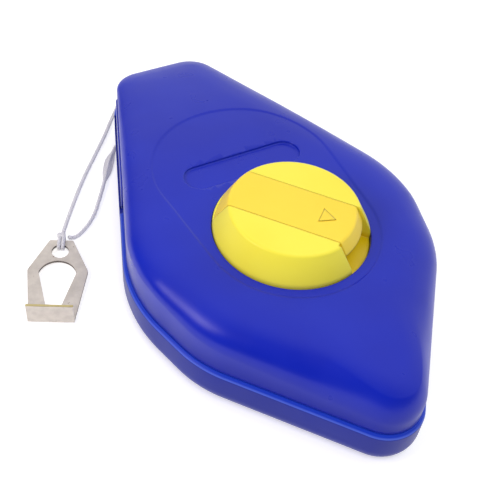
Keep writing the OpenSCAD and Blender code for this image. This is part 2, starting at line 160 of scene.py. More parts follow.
# Length along the line in which a strand goes round once
FREE_PITCH = 3.4
TAIL_PITCH = 4.2
KNOT_PITCH = 2.6
LOOP_PITCH = 3.0
KNOT_AT = (-51.4, 48.7, 1.6)
FRAY_FROM = 0.56
FRAY_YARNS = 15
FRAY_SEED = 7
FREE_ROUTE = [(0, 91.3, 14), (0, 94, 14), (-0.4, 97, 13.2), (-1.6, 99.8, 11), (-3.6, 101.7, 8),
              (-6.4, 102.4, 5), (-9.4, 101.2, 2.6), (-12.2, 98.6, 1.1), (-15.2, 95.2, 0.7),
              (-19.1, 90.2, 0.7), (-23.6, 84.8, 0.7), (-28.4, 79.2, 0.7), (-33.3, 73.5, 0.7),
              (-38, 67.6, 0.7), (-42.7, 61.3, 0.7), (-47.3, 54.9, 0.8), (-50.3, 50.2, 1.5)]
TAIL_ROUTE = [(-49.5, 47.7, 1.5), (-48.2, 47.4, 0.9), (-46.2, 47.9, 0.7), (-43.8, 49.3, 0.7),
              (-41.2, 51.3, 0.7), (-38, 54.6, 0.7), (-35.4, 58.2, 0.7), (-32.2, 62.9, 0.7),
              (-28.9, 67.9, 0.7), (-25.9, 72.7, 0.7), (-23.4, 76.6, 0.7), (-20.9, 79.7, 0.7),
              (-18.9, 82, 0.7)]
HOOK_AT = (-66.0, 19.0, 0.0)
HOOK_TURN = -26.6
HOOK_LIFT = 2.2
HOOK_T = 0.8
LIP_H = 8.3
HOOK_LEN = 31.2
HOOK_HOLE = (26.7, 2.6)
HOOK_TOP = 3.6
HOOK_SHOULDER = (9.1, 19.2)
HOOK_FOOT = 6.7
ARCH_R = 5.8
ARCH_Y = 17.1
ARCH_FOOT = (1.9, 4.5)
LIP_BEND = 1.2
LIP_EDGE = 0.06

# Light: the sky's bright direction, its brightness against the cosine to it, and the soft boxes
SKY_BRIGHT = (0.62, 0.42, 0.66)
SKY_STOPS = [(0.0, 0.08), (0.22, 0.12), (0.5, 0.8), (0.7, 1.05), (1.0, 1.05)]
SKY_STRENGTH = 0.88
FILL = ((-110, -260, 540), (200, 200), 1.2)
LEFT_FILL = ((-420, 80, 330), (200, 200), 0.4)
SIDE = ((-400, 30, 330), (240, 130), 0.65)
SIDE_COLOUR = (1.0, 0.86, 0.96)
FLOOR_GLOW = 0.47
FLOOR_HALF = 3000.0
LIGHT_AIM = (0, 10, 10)

# Camera: its place, its azimuth, elevation and roll in degrees, and its lens
CAMERA_AT = (-109.54, -141.97, 213.49)
CAMERA_ANGLES = (-34.2, 47.4, 7.3)
CAMERA_LENS = 65.47
SENSOR_WIDTH = 36.0
CLIP = (0.01, 20.0)


def direction(degrees):
    """Unit vectors in the plane at these angles."""
    a = np.radians(degrees)
    return np.stack([np.cos(a), np.sin(a)], -1)


def smoothstep(x, low, high):
    """Smooth rise from 0 at low to 1 at high."""
    t = np.clip((x - low) / (high - low), 0, 1)
    return t * t * (3 - 2 * t)


# ---------------------------------------------------------------- outline and heights

def tangent_angle(a, b):
    """Angle of the outward normal where the outline runs straight from circle a to circle b."""
    dx, dy = b[0] - a[0], b[1] - a[1]
    lean = math.asin((a[2] - b[2]) / math.hypot(dx, dy))
    return math.degrees(math.atan2(dy, dx)) - 90 + math.degrees(lean)


def wrap_outline(step):
    """Points and outward normals along the case outline, about step mm apart."""
    points, normals = [], []
    for k, circle in enumerate(WRAP):
        after = WRAP[(k + 1) % len(WRAP)]
        start = tangent_angle(WRAP[k - 1], circle) % 360
        end = tangent_angle(circle, after) % 360
        end += 360 * (end < start)
        n = max(2, math.ceil(math.radians(end - start) * circle[2] / step))
        angles = np.linspace(start, end, n + 1)
        points.extend(np.array(circle[:2]) + circle[2] * direction(angles))
        normals.extend(direction(angles))
        leave = np.array(circle[:2]) + circle[2] * direction(end)
        goal = np.array(after[:2]) + after[2] * direction(end)
        gap = np.linalg.norm(goal - points[-1])
        for t in np.linspace(0, 1, max(2, math.ceil(gap / step)) + 1)[1:-1]:
            points.append((1 - t) * leave + t * goal)
            normals.append(direction(end))
    points, normals = np.array(points), np.array(normals)
    keep = np.linalg.norm(points - np.roll(points, 1, 0), axis=1) > 0.01
    return points[keep], normals[keep]


THETA = np.arange(0, 360, 1.0)
THETA_DIR = direction(THETA)


def support(circles):
    """How far the hull of the circles reaches in each direction of THETA."""
    return np.max([np.array(c[:2]) @ THETA_DIR.T + c[2] for c in circles], 0)


CASE_SUPPORT = support(WRAP)
PAD_SUPPORT = support(PAD_CIRCLES)


def inward(points, held):
    """Distance of each point inwards from a convex outline, and the outline's point nearest to it."""
    gaps = held - points @ THETA_DIR.T
    near = np.argmin(gaps, 1)
    d = gaps[np.arange(len(points)), near]
    return d, points + d[:, None] * THETA_DIR[near]


def top_z(y):
    """Height of the top, which falls to the nose and to the tip."""
    to_nose = np.maximum(0, y - NOSE_FALL_Y) / (NOSE_Y - NOSE_FALL_Y)
    to_tip = np.maximum(0, TIP_FALL_Y - y) / (TIP_Y + TIP_FALL_Y)
    return CASE_H - NOSE_DROP * to_nose ** 2 - TIP_DROP * to_tip ** 2


def crown_start(y):
    """Height at which the rounding round the top starts."""
    return CROWN_Z - np.where(y > 0, CROWN_DROP_NOSE * y / NOSE_Y, -CROWN_DROP_TIP * y / TIP_Y)


def crown_width(y):
    """Width of the rounding, narrower at the nose and at the tip."""
    to_nose, to_tip = smoothstep(y, *NOSE_NARROWING), smoothstep(-y, *TIP_NARROWING)
    return CROWN_W + (CROWN_W_NOSE - CROWN_W) * to_nose + (CROWN_W_TIP - CROWN_W) * to_tip


def exact_height(points):
    """Height of the rounding at each point, and the share of its width that lies outside the point."""
    d, rim = inward(points, CASE_SUPPORT)
    share = np.clip(d / crown_width(rim[:, 1]), 0, 1)
    low, top = crown_start(points[:, 1]), top_z(points[:, 1])
    return low + (top - low) * np.sqrt(1 - (1 - share) ** 2), share


def height(points):
    """Height of the top: round along its rim, and averaged further in so that no crease is left."""
    exact, share = exact_height(points)
    total, weight = exact.copy(), 1.0
    for radius, w in SMOOTHING:
        for a in np.arange(0, 360, 45) + radius * 10:
            total += w * exact_height(points + radius * direction(a))[0]
            weight += w
    blend = smoothstep(share, *SMOOTHING_SHARE)
    pad = PAD_DEPTH * smoothstep(inward(points, PAD_SUPPORT)[0], -PAD_EDGE, PAD_EDGE)
    return exact * (1 - blend) + total / weight * blend - pad


# ---------------------------------------------------------------- mesh helpers

def grid_faces(rings, count, closed=False):
    """Quads between rings of count points each, facing outwards on rings that turn left and go up."""
    last = rings if closed else rings - 1
    return [(r * count + i, r * count + (i + 1) % count,
             (r + 1) % rings * count + (i + 1) % count, (r + 1) % rings * count + i)
            for r in range(last) for i in range(count)]


def level(plan, z):
    """Points of a plan at one height."""
    return np.column_stack([plan, np.full(len(plan), z)])


def upright(plan, y):
    """Points of a plan that stands upright, at one depth."""
    return np.column_stack([plan[:, 0], np.full(len(plan), y), plan[:, 1]])


def make_mesh(name, points, faces, place=None):
    """Object of points in mm, moved by place."""
    mesh = bpy.data.meshes.new(name)
    mesh.from_pydata([tuple(float(c) * MM for c in p) for p in points], [], faces)
    if place is not None:
        mesh.transform(place)
    mesh.validate()
    obj = bpy.data.objects.new(name, mesh)
    scene.collection.objects.link(obj)
    return obj


def ring_solid(name, rings, place=None, caps=True):
    """Closed solid through rings of points, each with as many points as the first."""
    count = len(rings[0])
    faces = grid_faces(len(rings), count, closed=not caps)
    if caps:
        faces.append(tuple(reversed(range(count))))
        faces.append(tuple((len(rings) - 1) * count + i for i in range(count)))
    return make_mesh(name, np.concatenate(rings), faces, place)


def lathe(name, profile, place=None, count=192):
    """Solid of revolution of (radius, height) points.

    They start and end on the axis, or else close on themselves.
    """
    turn = direction(np.arange(count) * 360 / count)
    solid = profile[0][0] == 0
    rows = profile[1:-1] if solid else profile
    rings = [level(turn * r, z) for r, z in rows]
    return ring_solid(name, rings, place, caps=solid)


def rounded_profile(corners, radius, steps=5):
    """(radius, height) outline with its inner corners rounded."""
    out = [corners[0]]
    for before, at, after in zip(corners, corners[1:], corners[2:]):
        a, b, c = (np.array(p, float) for p in (before, at, after))
        u, v = a - b, c - b
        reach = min(radius, np.linalg.norm(u) / 2.1, np.linalg.norm(v) / 2.1)
        p0, p2 = b + u / np.linalg.norm(u) * reach, b + v / np.linalg.norm(v) * reach
        for t in np.linspace(0, 1, steps):
            out.append(tuple((1 - t) ** 2 * p0 + 2 * t * (1 - t) * b + t * t * p2))
    out.append(corners[-1])
    return out


def rounded_rectangle(x, y, radius, steps=6):
    """Anticlockwise plan between two x and two y values, with round corners."""
    corners = [(x[1] - radius, y[1] - radius, 0), (x[0] + radius, y[1] - radius, 90),
               (x[0] + radius, y[0] + radius, 180), (x[1] - radius, y[0] + radius, 270)]
    return np.concatenate([np.array(c[:2]) + radius * direction(c[2] + np.linspace(0, 90, steps))
                           for c in corners])


def shrink(outline, by):
    """Outline of a closed anticlockwise plan moved inwards along its own normals."""
    ahead, behind = np.roll(outline, -1, 0), np.roll(outline, 1, 0)
    a, b = outline - behind, ahead - outline
    a, b = (v / np.maximum(np.linalg.norm(v, axis=1, keepdims=True), 1e-9) for v in (a, b))
    n = np.column_stack([-(a + b)[:, 1], (a + b)[:, 0]])
    n /= np.maximum(np.linalg.norm(n, axis=1, keepdims=True), 1e-9)
    cosine = np.clip(np.abs(np.sum(n * np.column_stack([-a[:, 1], a[:, 0]]), axis=1)), 0.5, 1)
    return outline + n * (by / cosine)[:, None]


def slab(name, outline, z, edge, place=None):
    """Prism over a plan with both its edges rounded."""
    turns = [math.radians(a) for a in (0, 30, 60, 90)]
    levels = [(edge * (1 - math.sin(a)), z[0] + edge * (1 - math.cos(a))) for a in turns]
    levels += [(inset, z[0] + z[1] - h) for inset, h in reversed(levels)]
    return ring_solid(name, [level(shrink(outline, inset), h) for inset, h in levels], place)


def box(name, x, y, z, place=None):
    """Sharp box between two values on each axis."""
    outline = np.array([(x[0], y[0]), (x[1], y[0]), (x[1], y[1]), (x[0], y[1])], float)
    return ring_solid(name, [level(outline, h) for h in z], place)


def rod(name, radius, z, place=None):
    """Round bar along Z between two heights."""
    return lathe(name, [(0, z[0]), (radius, z[0]), (radius, z[1]), (0, z[1])], place, ROD_SIDES)


def carve(obj, *steps):
    """Applies boolean steps ('DIFFERENCE', cutter) to obj in turn and removes the cutters."""
    for operation, tool in steps:
        step = obj.modifiers.new("step", "BOOLEAN")
        step.operation, step.object, step.solver = operation, tool, "EXACT"
    graph = bpy.context.evaluated_depsgraph_get()
    mesh = bpy.data.meshes.new_from_object(obj.evaluated_get(graph))
    obj.modifiers.clear()
    obj.data = mesh
    for _, tool in steps:
        bpy.data.objects.remove(tool)


def add_mesh(obj, other):
    """Adds the faces of other to obj as a second closed form, and removes other."""
    points = [v.co for mesh in (obj.data, other.data) for v in mesh.vertices]
    shift = len(obj.data.vertices)
    faces = [tuple(p.vertices) for p in obj.data.polygons]
    faces += [tuple(shift + i for i in p.vertices) for p in other.data.polygons]
    mesh = bpy.data.meshes.new(obj.name)
    mesh.from_pydata([tuple(p) for p in points], [], faces)
    obj.data = mesh
    bpy.data.objects.remove(other)


def finish_piece(obj, material, body, stands_for=(), angle=35):
    """Smooth shading up to an angle, the material, and the body that the piece rides on."""
    mesh = obj.data
    mesh.materials.clear()
    mesh.materials.append(material)
    mesh.polygons.foreach_set("use_smooth", [True] * len(mesh.polygons))
    mesh.polygons.foreach_set("material_index", [0] * len(mesh.polygons))
    mesh.set_sharp_from_angle(angle=math.radians(angle))
    mesh.update()
    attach(obj, body)
    if stands_for:
        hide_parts(*stands_for)


def weighted_normals(obj):
    """Shades flat faces flat and keeps the turn of the normals in the roundings."""
    step = obj.modifiers.new("normals", "WEIGHTED_NORMAL")
    step.keep_sharp = True
    step.weight = 100


FLANK_A = tangent_angle(NOSE_L, SHOULDER) % 360
FLANK_AT = np.array(NOSE_L[:2]) + NOSE_L[2] * direction(FLANK_A) + 3.0 * direction(FLANK_A + 90)


def at(x, y, z):
    """Move by millimetres."""
    return Matrix.Translation((x * MM, y * MM, z * MM))


def about(axis, degrees):
    """Turn about an axis."""
    return Matrix.Rotation(math.radians(degrees), 4, axis)


ON_FLANK = at(FLANK_AT[0], FLANK_AT[1], 0) @ about("Z", FLANK_A + 90)
ON_LEVER = about("Z", LEVER_ANGLE)
HINGE_ROD = ON_LEVER @ at(PIN_X, 0, PIN_Z) @ about("X", -90)
NOSE_ROD = at(0, 0, PARTING) @ about("X", -90)
ON_HOOK = at(*HOOK_AT) @ about("Z", HOOK_TURN) @ about("X", HOOK_LIFT)


# ---------------------------------------------------------------- materials

def rgb(r, g, b):
    """Scene-linear colour from 0-255 display values."""
    linear = [c / 255 / 12.92 if c <= 10 else ((c / 255 + 0.055) / 1.055) ** 2.4 for c in (r, g, b)]
    return (*linear, 1.0)


def set_stops(node, stops):
    """Puts (place, grey value or colour) stops on a colour ramp."""
    elements = node.color_ramp.elements
    while len(elements) < len(stops):
        elements.new(0.5)
    for element, (place, colour) in zip(elements, stops):
        element.position = place
        element.color = colour if isinstance(colour, tuple) else (colour, colour, colour, 1)


HEIGHT_SPAN = 40.0
DULL_SHINE = 0.14
BEVEL_SAMPLES = 6


class Shader:
    """Small helper that builds one node material, with positions in millimetres."""

    def __init__(self, name):
        self.material = bpy.data.materials.new(name)
        self.material.use_nodes = True
        self.nodes = self.material.node_tree.nodes
        self.links = self.material.node_tree.links
        self.bsdf = self.nodes["Principled BSDF"]
        where = self.add("ShaderNodeTexCoord")
        scale = self.add("ShaderNodeMapping")
        scale.inputs["Scale"].default_value = (1 / MM, 1 / MM, 1 / MM)
        self.link(where.outputs["Object"], scale.inputs["Vector"])
        self.place = scale.outputs["Vector"]

    def add(self, kind, **settings):
        node = self.nodes.new(kind)
        for key, value in settings.items():
            setattr(node, key, value)
        return node

    def link(self, a, b):
        self.links.new(a, b)

    def noise(self, scale, detail=2.0, stretch=None):
        node = self.add("ShaderNodeTexNoise")
        node.inputs["Scale"].default_value = scale
        node.inputs["Detail"].default_value = detail
        vector = self.place
        if stretch:
            mapping = self.add("ShaderNodeMapping")
            mapping.inputs["Scale"].default_value = stretch
            self.link(vector, mapping.inputs["Vector"])
            vector = mapping.outputs["Vector"]
        self.link(vector, node.inputs["Vector"])
        return node.outputs["Fac"]

    def ramp(self, value, stops):
        node = self.add("ShaderNodeValToRGB")
        set_stops(node, stops)
        self.link(value, node.inputs["Fac"])
        return node.outputs["Color"]

    def mix(self, factor, a, b):
        node = self.add("ShaderNodeMix", data_type="RGBA", blend_type="MIX")
        for socket, value in ((node.inputs[0], factor), (node.inputs[6], a), (node.inputs[7], b)):
            if isinstance(value, bpy.types.NodeSocket):
                self.link(value, socket)
            else:
                socket.default_value = value
        return node.outputs[2]

    def rounded(self, radius):
        """Normal of the surface with its edges rounded."""
        bevel = self.add("ShaderNodeBevel", samples=BEVEL_SAMPLES)
        bevel.inputs["Radius"].default_value = radius * MM
        return bevel.outputs["Normal"]

    def edges(self, radius, low, high):
        """Mask of the outer edges: how far the normal turns within a small radius."""
        normal = self.rounded(radius)
        geometry = self.add("ShaderNodeNewGeometry")
        dot = self.add("ShaderNodeVectorMath", operation="DOT_PRODUCT")
        self.link(normal, dot.inputs[0])
        self.link(geometry.outputs["Normal"], dot.inputs[1])
        return self.ramp(dot.outputs["Value"], [(low, 1.0), (high, 0.0)])

    def height_ramp(self, stops):
        """Values blended between (height in mm, value) stops."""
        parts = self.add("ShaderNodeSeparateXYZ")
        self.link(self.place, parts.inputs["Vector"])
        share = self.add("ShaderNodeMapRange")
        share.inputs["From Max"].default_value = HEIGHT_SPAN
        self.link(parts.outputs["Z"], share.inputs["Value"])
        return self.ramp(share.outputs["Result"], [(z / HEIGHT_SPAN, value) for z, value in stops])

    def rough(self, value, low, high):
        self.link(self.ramp(value, [(0.0, low), (1.0, high)]), self.bsdf.inputs["Roughness"])

    def bump(self, layers, round_edge=0.0):
        """Bump from (height, strength, distance in mm) layers over softly rounded edges."""
        normal = self.rounded(round_edge) if round_edge else None
        for value, strength, distance in layers:
            node = self.add("ShaderNodeBump")
            node.inputs["Strength"].default_value = strength
            node.inputs["Distance"].default_value = distance * MM
            self.link(value, node.inputs["Height"])
            if normal is not None:
                self.link(normal, node.inputs["Normal"])
            normal = node.outputs["Normal"]
        self.link(normal, self.bsdf.inputs["Normal"])

    def base(self, colour):
        self.link(colour, self.bsdf.inputs["Base Color"])


def plastic(name, main, deep, wear_and_highlight, roughness, round_edge=0.25, specks=0.0, glow=0.0, shine=0.5,
            shade_and_light_bands=(), dull_below=None, edge=(0.3, 0.70, 0.98)):
    """Moulded plastic with flow marks, fine grain and paler edges, which are edge wear on some plastics and a
    painted highlight on others.

    specks adds light specks, the bands paint shade and light on (low, high, softness, colour)
    ranges of height, and the shine fades to DULL_SHINE between the two heights of dull_below.
    """
    s = Shader(name)
    flow = s.noise(0.035, 3.0)
    colour = s.mix(s.ramp(flow, [(0.35, 0.0), (0.65, 1.0)]), main, deep)
    if specks:
        colour = s.mix(s.ramp(s.noise(1.4, 1.0), [(0.78, 0.0), (0.82, specks)]), colour, wear_and_highlight)
    # Height bands of painted shade and painted light.
    for low, high, soft, painted_tone in shade_and_light_bands:
        mask = s.height_ramp([(low - soft, 0.0), (low, 1.0), (high, 1.0), (high + soft, 0.0)])
        colour = s.mix(mask, colour, painted_tone)
    # Paler edges: edge wear, and on the blue plastics a painted highlight along the edges and slight slopes.
    colour = s.mix(s.edges(*edge), colour, wear_and_highlight)
    s.base(colour)
    s.rough(s.noise(0.12, 2.0), roughness - 0.08, roughness + 0.09)
    s.bsdf.inputs["Specular IOR Level"].default_value = shine
    if dull_below:
        s.link(s.height_ramp([(dull_below[0], DULL_SHINE), (dull_below[1], shine)]),
               s.bsdf.inputs["Specular IOR Level"])
    s.bsdf.inputs["Subsurface Weight"].default_value = glow
    s.bsdf.inputs["Subsurface Radius"].default_value = (1.0, 0.9, 0.4)
    s.bsdf.inputs["Subsurface Scale"].default_value = MM
    s.bump([(s.noise(0.05, 1.0), 0.25, 1.0), (s.noise(4.0, 2.0), 0.05, 0.06)], round_edge)
    return s.material


def metal(name, main, deep, roughness, spots=None, stretch=(1, 1, 1), metallic=1.0, spot_from=0.66):
    """Bare or plated metal: grain, tarnish clouds and, if spots is a colour, spots of it."""
    s = Shader(name)
    clouds = s.noise(0.35, 5.0)
    colour = s.mix(s.ramp(clouds, [(0.35, 0.0), (0.7, 1.0)]), main, deep)
    if spots:
        mask = s.ramp(s.noise(0.75, 3.0), [(spot_from, 0.0), (spot_from + 0.05, 0.9)])
        colour = s.mix(mask, colour, spots)
    s.base(colour)
    s.bsdf.inputs["Metallic"].default_value = metallic
    s.rough(s.noise(1.2, 3.0), roughness - 0.15, roughness + 0.2)
    s.bump([(s.noise(3.0, 2.0, stretch), 0.2, 0.05)], 0.12)
    return s.material


def fibre(name, main, deep, scale, strength):
    """Felt and braid: a fine tangle of pale and shaded threads."""
    s = Shader(name)
    s.base(s.mix(s.ramp(s.noise(scale, 4.0), [(0.3, 0.0), (0.75, 1.0)]), deep, main))
    s.rough(s.noise(scale * 0.5), 0.7, 1.0)
    s.bsdf.inputs["Sheen Weight"].default_value = 0.3
    s.bump([(s.noise(scale * 1.6, 3.0), strength, 0.12)])
    return s.material


# Painted highlight: a paler blue along the edges and slight slopes of both shells and the door.
BLUE_EDGE_HIGHLIGHT = rgb(58, 76, 204)
# Painted shade: a darker blue low on the upper shell's flanks and on the door.
BLUE_FLANK_SHADE = rgb(12, 29, 158)
# Painted highlight: a pale line on the outer edge of the lower shell's ledge.
BLUE_LEDGE_EDGE_HIGHLIGHT = rgb(78, 102, 212)
# Painted light: a brighter blue on the top of the lower shell's ledge.
BLUE_LEDGE_TOP_LIT = rgb(28, 60, 192)
# The blue's wide edge mask spreads the painted highlight from the edges onto the slight slopes of the top.
BLUE = plastic("blue_plastic", rgb(13, 36, 180), rgb(10, 31, 172), BLUE_EDGE_HIGHLIGHT, 0.3, shine=0.4,
               shade_and_light_bands=[(2.0, 17.0, 7.0, BLUE_FLANK_SHADE)], dull_below=(16.0, 26.0), edge=(0.4, 0.94, 0.996))
# The lower shell is the same plastic as the upper one; its darker, duller blue is painted shade.
BLUE_LOWER_SHADED = plastic("blue_plastic_lower_shaded", rgb(15, 33, 146), rgb(12, 28, 138), BLUE_EDGE_HIGHLIGHT, 0.36,
                   shine=0.2, shade_and_light_bands=[(13.15, 16.0, 0.1, BLUE_LEDGE_TOP_LIT), (12.92, 13.12, 0.06, BLUE_LEDGE_EDGE_HIGHLIGHT)])
# The yellow's band up to 28.6 mm is painted shade: a deeper gold on the notch floor and on the parts below
# the top of the case.
YELLOW = plastic("yellow_plastic", rgb(251, 238, 74), rgb(248, 233, 64), rgb(252, 244, 120), 0.38,
                 round_edge=0.4, specks=0.3, glow=0.15, shade_and_light_bands=[(1.0, 28.6, 1.8, rgb(226, 196, 8))])
YELLOW_LEVER = plastic("yellow_plastic_lever", rgb(254, 222, 62), rgb(252, 216, 54),
                       rgb(254, 236, 100), 0.4, round_edge=0.4, specks=0.3, glow=0.15)
SPOOL_YELLOW = plastic("spool_plastic", rgb(235, 205, 60), rgb(225, 190, 50), rgb(250, 235, 150), 0.45)
ZINC = metal("zinc_plated_steel", rgb(200, 200, 206), rgb(165, 165, 172), 0.3)
BRASS = metal("brass", rgb(214, 178, 98), rgb(176, 136, 66), 0.3)
HOOK_STEEL = metal("hook_steel", rgb(218, 210, 200), rgb(200, 192, 183), 0.45, rgb(92, 66, 52),
                   (0.3, 1, 0.3), metallic=0.45, spot_from=0.7)
HOOK_CUT = metal("hook_cut_edge", rgb(128, 118, 108), rgb(92, 84, 78), 0.5, metallic=0.45)
HOOK_EDGE = metal("hook_lip_edge", rgb(206, 192, 136), rgb(188, 172, 118), 0.4, metallic=0.4)
FELT = fibre("wiper_felt", rgb(214, 208, 196), rgb(150, 146, 150), 2.0, 0.6)
GREY_FELT = fibre("dust_felt", rgb(92, 92, 100), rgb(50, 50, 58), 2.0, 0.6)
RUBBER = plastic("seal_rubber", rgb(38, 38, 40), rgb(28, 28, 30), rgb(70, 70, 74), 0.6)
BRAID = fibre("braided_cotton", rgb(238, 237, 238), rgb(204, 203, 208), 3.0, 0.35)


# ---------------------------------------------------------------- camera, floor and light

def place_camera():
    """Camera at the photograph's viewing angle, with its slight roll."""
    azimuth, elevation, roll = (math.radians(a) for a in CAMERA_ANGLES)
    back = Vector((math.sin(azimuth) * math.cos(elevation), -math.cos(azimuth) * math.cos(elevation),
                   math.sin(elevation)))
    right = Vector((math.cos(azimuth), math.sin(azimuth), 0))
    up = back.cross(right)
    right, up = (math.cos(roll) * right + math.sin(roll) * up,
                 math.cos(roll) * up - math.sin(roll) * right)
    data = bpy.data.cameras.new("camera")
    data.lens = CAMERA_LENS
    data.sensor_width = SENSOR_WIDTH
    data.clip_start, data.clip_end = CLIP
    camera = bpy.data.objects.new("camera", data)
    scene.collection.objects.link(camera)
    turn = Matrix((right, up, back)).transposed().to_4x4()
    camera.matrix_world = Matrix.Translation(Vector(CAMERA_AT) * MM) @ turn
    scene.camera = camera


def area_light(name, place, size, watts):
    """Soft box at a place in mm that faces the reel."""
    data = bpy.data.lights.new(name, "AREA")
    data.shape = "RECTANGLE"
    data.size, data.size_y = (s * MM for s in size)
    data.energy = watts
    light = bpy.data.objects.new(name, data)
    scene.collection.objects.link(light)
    light.location = Vector(place) * MM
    light.rotation_mode = "QUATERNION"
    light.rotation_quaternion = (Vector(place) - Vector(LIGHT_AIM)).to_track_quat("Z", "Y")
    return light


def sky(world):
    """Soft sky: dim to the left and low down, bright overhead and to the back right."""
    nodes, links = world.node_tree.nodes, world.node_tree.links
    where = nodes.new("ShaderNodeTexCoord")
    dot = nodes.new("ShaderNodeVectorMath")
    dot.operation = "DOT_PRODUCT"
    dot.inputs[1].default_value = SKY_BRIGHT
    ramp = nodes.new("ShaderNodeValToRGB")
    set_stops(ramp, SKY_STOPS)
    links.new(where.outputs["Generated"], dot.inputs[0])
    links.new(dot.outputs["Value"], ramp.inputs["Fac"])
    links.new(ramp.outputs["Color"], nodes["Background"].inputs["Color"])
    nodes["Background"].inputs["Strength"].default_value = SKY_STRENGTH


def studio():
    """Sky, soft boxes and a white floor that glows a little; the two fills leave no reflection."""
    world = bpy.data.worlds.new("studio")
    scene.world = world
    world.use_nodes = True
    sky(world)
    area_light("fill", *FILL).visible_glossy = False
    area_light("left_fill", *LEFT_FILL).visible_glossy = False
    area_light("side", *SIDE).data.color = SIDE_COLOUR
    corners = [(x * FLOOR_HALF, y * FLOOR_HALF, 0) for x, y in ((-1, -1), (1, -1), (1, 1), (-1, 1))]
    floor = make_mesh("floor", corners, [(0, 1, 2, 3)])
    s = Shader("floor_paper")
    s.base(s.mix(s.noise(0.01), rgb(224, 224, 224), rgb(227, 227, 227)))
    s.bsdf.inputs["Roughness"].default_value = 0.9
    s.bsdf.inputs["Emission Color"].default_value = (1, 1, 1, 1)
    s.bsdf.inputs["Emission Strength"].default_value = FLOOR_GLOW
    floor.data.materials.append(s.material)
    scene.view_settings.view_transform = "Standard"


# ---------------------------------------------------------------- line

def smooth_route(route, steps):
    """Points of the smooth curve through a route."""
    p = np.array(route, float)
    p = np.vstack([2 * p[0] - p[1], p, 2 * p[-1] - p[-2]])
    t = np.linspace(0, 1, steps, endpoint=False)[:, None]
    out = [0.5 * (2 * b + (c - a) * t + (2 * a - 5 * b + 4 * c - d) * t ** 2
                  + (3 * b - a - 3 * c + d) * t ** 3)
           for a, b, c, d in zip(p, p[1:], p[2:], p[3:])]
    return np.vstack([*out, p[-2]])


def run_length(path):
    """Length along a path up to each of its points."""
    return np.concatenate([[0], np.cumsum(np.linalg.norm(np.diff(path, axis=0), axis=1))])


def resample(path, step):
    """The same path with points about step mm apart."""
    length = run_length(path)
    stops = np.linspace(0, length[-1], max(4, round(length[-1] / step)) + 1)
    return np.column_stack([np.interp(stops, length, path[:, k]) for k in range(3)])


def sweep_frames(path):
    """Two directions across a path at each of its points, carried along it without twist."""
    way = np.gradient(path, axis=0)
    way /= np.linalg.norm(way, axis=1, keepdims=True)
    side = np.cross(way[0], (0, 0, 1.0))
    sides = []
    for w in way:
        side = side - w * (side @ w)
        side /= np.linalg.norm(side)
        sides.append(side)
    sides = np.array(sides)
    return sides, np.cross(sides, way)


def strand_tube(path, radius, sides):
    """Rings of a round strand along a path."""
    a, b = sweep_frames(path)
    t = np.arange(sides) * -TURN / sides
    return [p + radius * (np.cos(t)[:, None] * u + np.sin(t)[:, None] * v) for p, u, v in zip(path, a, b)]


def join_rings(name, tubes):
    """One mesh of several closed strands."""
    points, faces = [], []
    for rings in tubes:
        base, count = len(points), len(rings[0])
        faces += [tuple(base + i for i in f) for f in grid_faces(len(rings), count)]
        faces.append(tuple(base + i for i in reversed(range(count))))
        faces.append(tuple(base + (len(rings) - 1) * count + i for i in range(count)))
        points.extend(np.concatenate(rings))
    return make_mesh(name, points, faces)


def braid(path, radius, pitch):
    """Two sets of strands that wind round a path against each other, over and under."""
    a, b = sweep_frames(path)
    length = run_length(path)
    tubes = []
    for hand in (1, -1):
        for k in range(STRANDS):
            turn = hand * length / pitch * TURN + k * TURN / STRANDS
            weave = 1 + WEAVE * np.cos(2 * STRANDS * length / pitch * TURN / 2 + k * TURN / 2) * hand
            reach = radius * STRAND_REACH * weave
            centre = path + reach[:, None] * (np.cos(turn)[:, None] * a + np.sin(turn)[:, None] * b)
            tubes.append(strand_tube(centre, radius * STRAND_SHARE, 7))
    return tubes


def finish_braid(obj, body, stands_for=()):
    """Cotton, smooth round each strand."""
    finish_piece(obj, BRAID, body, stands_for, 60)


def dense_route(route):
    """Closely spaced points of the curve through a route, for a braid to follow."""
    return resample(smooth_route(route, 12), 0.25)


def build_line():
    """The free line to the knot, and the frayed tail beside it."""
    free = join_rings("free_line_braid", braid(dense_route(FREE_ROUTE), BRAID_R, FREE_PITCH))
    finish_braid(free, "case", ["free_line"])

    route = dense_route(TAIL_ROUTE)
    tail = join_rings("line_tail_braid", braid(route, BRAID_R, TAIL_PITCH))
    finish_braid(tail, "case", ["line_tail"])
    fray = join_rings("line_tail_fray", frayed_strands(route))
    finish_braid(fray, "case")


def frayed_strands(route):
    """Loose yarns that spread flat beside the tail, from FRAY_FROM of its length to its end."""
    rng = np.random.default_rng(FRAY_SEED)
    path = route[int(len(route) * FRAY_FROM):]
    share = np.linspace(0, 1, len(path))
    side = sweep_frames(path)[0]
    swell = smoothstep(share, 0.0, 0.4) * (1 - 0.75 * smoothstep(share, 0.62, 1.0))
    tubes = []
    for k in np.linspace(-1, 1, FRAY_YARNS):
        wave = 0.12 * np.sin(share * rng.uniform(6, 11) + rng.uniform(0, TURN))
        across = (1.35 * k + wave) * swell
        lift = 0.10 + 0.62 * swell * (1 - k * k) * rng.uniform(0.4, 1.0) + 0.1 * wave
        yarn = path + side * across[:, None]
        yarn[:, 2] = path[:, 2] - 0.35 + lift
        tubes.append(strand_tube(yarn, 0.17 + 0.05 * rng.random(), 6))
    return tubes


def placed(points, matrix):
    """Points in mm, moved by a matrix that works in metres."""
    m = np.array(matrix)
    return points @ m[:3, :3].T + m[:3, 3] / MM


